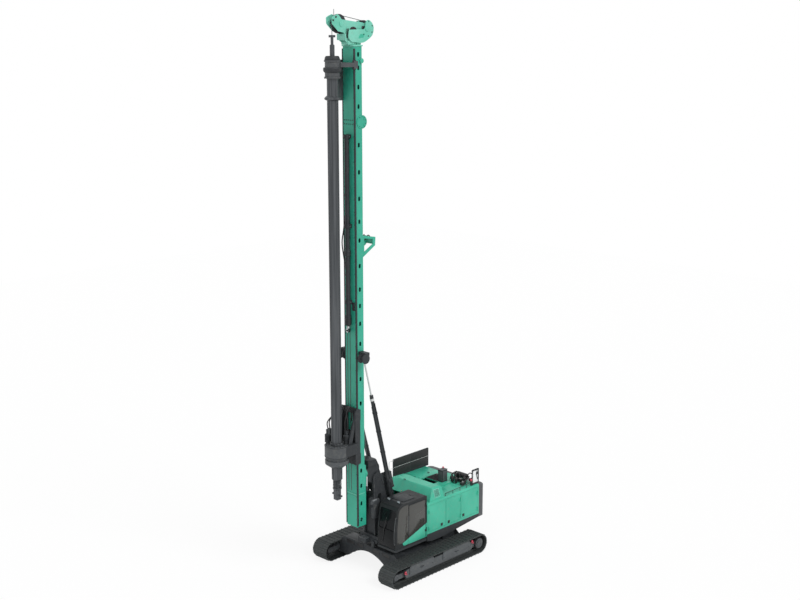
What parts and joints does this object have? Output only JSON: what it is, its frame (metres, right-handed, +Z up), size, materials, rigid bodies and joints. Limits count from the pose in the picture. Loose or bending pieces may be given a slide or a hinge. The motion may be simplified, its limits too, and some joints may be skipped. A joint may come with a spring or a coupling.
{
  "type": "rotary piling rig",
  "caption": "Crawler-mounted rotary drilling rig with slewing upper body, cab, raking mast on stay cylinders, rotary drive carriage and telescopic drill bar.",
  "frame": {"origin": "on the slewing axis, at the level the tracks stand on", "axes": "+Z up, mast and drill bar at the front towards -Y, cab on the machine's left towards +X"},
  "size_m": [4.4, 7.1628, 20.9437],
  "materials": {
    "teal_paint": "semi-gloss machine enamel",
    "pale_teal_paint": "semi-gloss machine enamel, weathered",
    "dark_paint": "satin dark grey machine enamel",
    "grey_paint": "satin mid grey machine enamel",
    "track_steel": "worn dark steel",
    "bar_steel": "dark grey oiled steel",
    "rod_chrome": "hard chrome",
    "glazing": "tinted safety glass",
    "seat_fabric": "woven black cover",
    "engine_iron": "painted engine mass"
  },
  "bodies": {
    "undercarriage": {"carbody": "dark_paint", "track_frame_left": "grey_paint", "track_frame_right": "grey_paint", "track_belt_left": "track_steel", "track_belt_right": "track_steel"},
    "upper_body": {"turntable_frame": "dark_paint", "counterweight": "dark_paint", "engine_block": "engine_iron", "left_housing": "teal_paint", "right_housing": "teal_paint", "hood": "teal_paint", "cab_shell": "grey_paint", "cab_glass": "glazing", "cab_seat": "seat_fabric", "guard_rail": "dark_paint", "mast_column": "dark_paint", "stay_feet": "dark_paint"},
    "cab_door": {"cab_door_frame": "grey_paint", "cab_door_glass": "glazing"},
    "left_door_front": {"left_door_front": "teal_paint"},
    "left_door_middle": {"left_door_middle": "teal_paint"},
    "left_door_rear": {"left_door_rear": "teal_paint"},
    "right_door": {"right_door": "teal_paint"},
    "winch_drum": {"winch_drum": "bar_steel"},
    "cardan_block": {"cardan_block": "dark_paint"},
    "mast": {"mast_foot": "teal_paint", "mast_main": "teal_paint", "mast_head": "teal_paint", "mast_rails": "dark_paint", "stay_brackets": "dark_paint", "cathead": "pale_teal_paint", "crowd_cylinder": "dark_paint"},
    "front_sheaves": {"front_sheaves": "dark_paint"},
    "rear_sheaves": {"rear_sheaves": "dark_paint"},
    "stay_gimbal_left": {"stay_gimbal_left": "dark_paint"},
    "stay_gimbal_right": {"stay_gimbal_right": "dark_paint"},
    "stay_barrel_left": {"stay_barrel_left": "dark_paint"},
    "stay_barrel_right": {"stay_barrel_right": "dark_paint"},
    "stay_rod_left": {"stay_rod_left": "rod_chrome"},
    "stay_rod_right": {"stay_rod_right": "rod_chrome"},
    "carriage": {"carriage": "dark_paint", "rotary_drive": "dark_paint"},
    "drive_sleeve": {"drive_sleeve": "bar_steel"},
    "bar_guide": {"bar_guide": "dark_paint"},
    "outer_bar": {"outer_bar": "bar_steel"},
    "inner_bar": {"inner_bar": "bar_steel"}
  },
  "joints": [
    {"name": "slewing", "type": "hinge", "parent": "undercarriage", "child": "upper_body", "pos_m": [0, 0, 1], "axis": [0, 0, 1], "continuous": true},
    {"name": "cab_door_swing", "type": "hinge", "parent": "upper_body", "child": "cab_door", "pos_m": [1.502, -0.115, 2.03], "axis": [0, 0, 1], "range_deg": [0, 90]},
    {"name": "left_front_door_swing", "type": "hinge", "parent": "upper_body", "child": "left_door_front", "pos_m": [1.522, 0.035, 1.85], "axis": [0, 0, -1], "range_deg": [0, 90]},
    {"name": "left_middle_door_swing", "type": "hinge", "parent": "upper_body", "child": "left_door_middle", "pos_m": [1.522, 1.855, 1.85], "axis": [0, 0, 1], "range_deg": [0, 90]},
    {"name": "left_rear_door_swing", "type": "hinge", "parent": "upper_body", "child": "left_door_rear", "pos_m": [1.522, 2.875, 1.85], "axis": [0, 0, 1], "range_deg": [0, 90]},
    {"name": "right_door_swing", "type": "hinge", "parent": "upper_body", "child": "right_door", "pos_m": [-1.522, 1.855, 1.85], "axis": [0, 0, -1], "range_deg": [0, 90]},
    {"name": "winch_turn", "type": "hinge", "parent": "upper_body", "child": "winch_drum", "pos_m": [0, -0.245, 1.76], "axis": [1, 0, 0], "continuous": true},
    {"name": "mast_rake", "type": "hinge", "parent": "upper_body", "child": "cardan_block", "pos_m": [0, -1.565, 3.7], "axis": [-1, 0, 0], "range_deg": [-5, 15]},
    {"name": "mast_side_tilt", "type": "hinge", "parent": "cardan_block", "child": "mast", "pos_m": [0, -2.055, 3.95], "axis": [0, 1, 0], "range_deg": [-3.5, 3.5]},
    {"name": "gimbal_turn_left", "type": "hinge", "parent": "upper_body", "child": "stay_gimbal_left", "pos_m": [0.395, -0.8, 2.45], "axis": [0, 1, 0], "range_deg": [-2.8, 2.8]},
    {"name": "barrel_turn_left", "type": "hinge", "parent": "stay_gimbal_left", "child": "stay_barrel_left", "pos_m": [0.395, -0.8, 2.45], "axis": [-0.9998, 0, 0.0219], "range_deg": [-4, 12]},
    {"name": "rod_slide_left", "type": "slide", "parent": "stay_barrel_left", "child": "stay_rod_left", "axis": [0.0211, -0.2597, 0.9654], "range_m": [-0.14, 0.05]},
    {"name": "gimbal_turn_right", "type": "hinge", "parent": "upper_body", "child": "stay_gimbal_right", "pos_m": [-0.395, -0.8, 2.45], "axis": [0, 1, 0], "range_deg": [-2.8, 2.8]},
    {"name": "barrel_turn_right", "type": "hinge", "parent": "stay_gimbal_right", "child": "stay_barrel_right", "pos_m": [-0.395, -0.8, 2.45], "axis": [-0.9998, 0, -0.0219], "range_deg": [-4, 12]},
    {"name": "rod_slide_right", "type": "slide", "parent": "stay_barrel_right", "child": "stay_rod_right", "axis": [-0.0211, -0.2597, 0.9654], "range_m": [-0.14, 0.05]},
    {"name": "carriage_feed", "type": "slide", "parent": "mast", "child": "carriage", "axis": [0, 0, 1], "range_m": [-2.3, 2.5]},
    {"name": "bar_feed", "type": "slide", "parent": "mast", "child": "bar_guide", "axis": [0, 0, -1], "range_m": [0, 2]},
    {"name": "bar_turn", "type": "hinge", "parent": "bar_guide", "child": "outer_bar", "pos_m": [0, -3.363, 19], "axis": [0, 0, 1], "continuous": true},
    {"name": "inner_bar_feed", "type": "slide", "parent": "outer_bar", "child": "inner_bar", "axis": [0, 0, -1], "range_m": [0, 0.45]},
    {"name": "sleeve_turn", "type": "hinge", "parent": "carriage", "child": "drive_sleeve", "pos_m": [0, -3.363, 5.2], "axis": [0, 0, 1], "continuous": true},
    {"name": "front_sheaves_turn", "type": "hinge", "parent": "mast", "child": "front_sheaves", "pos_m": [0, -3.063, 20.6], "axis": [1, 0, 0], "continuous": true},
    {"name": "rear_sheaves_turn", "type": "hinge", "parent": "mast", "child": "rear_sheaves", "pos_m": [0, -1.88, 20.43], "axis": [1, 0, 0], "continuous": true}
  ],
  "couplings": [
    {"joint": "gimbal_turn_left", "follows": "mast_side_tilt", "ratio": 0.769},
    {"joint": "barrel_turn_left", "follows": "mast_rake", "ratio": 0.781},
    {"joint": "rod_slide_left", "follows": "mast_rake", "m_per_rad": -0.506},
    {"joint": "gimbal_turn_right", "follows": "mast_side_tilt", "ratio": 0.769},
    {"joint": "barrel_turn_right", "follows": "mast_rake", "ratio": 0.781},
    {"joint": "rod_slide_right", "follows": "mast_rake", "m_per_rad": -0.506},
    {"joint": "sleeve_turn", "follows": "bar_turn", "ratio": 1}
  ]
}
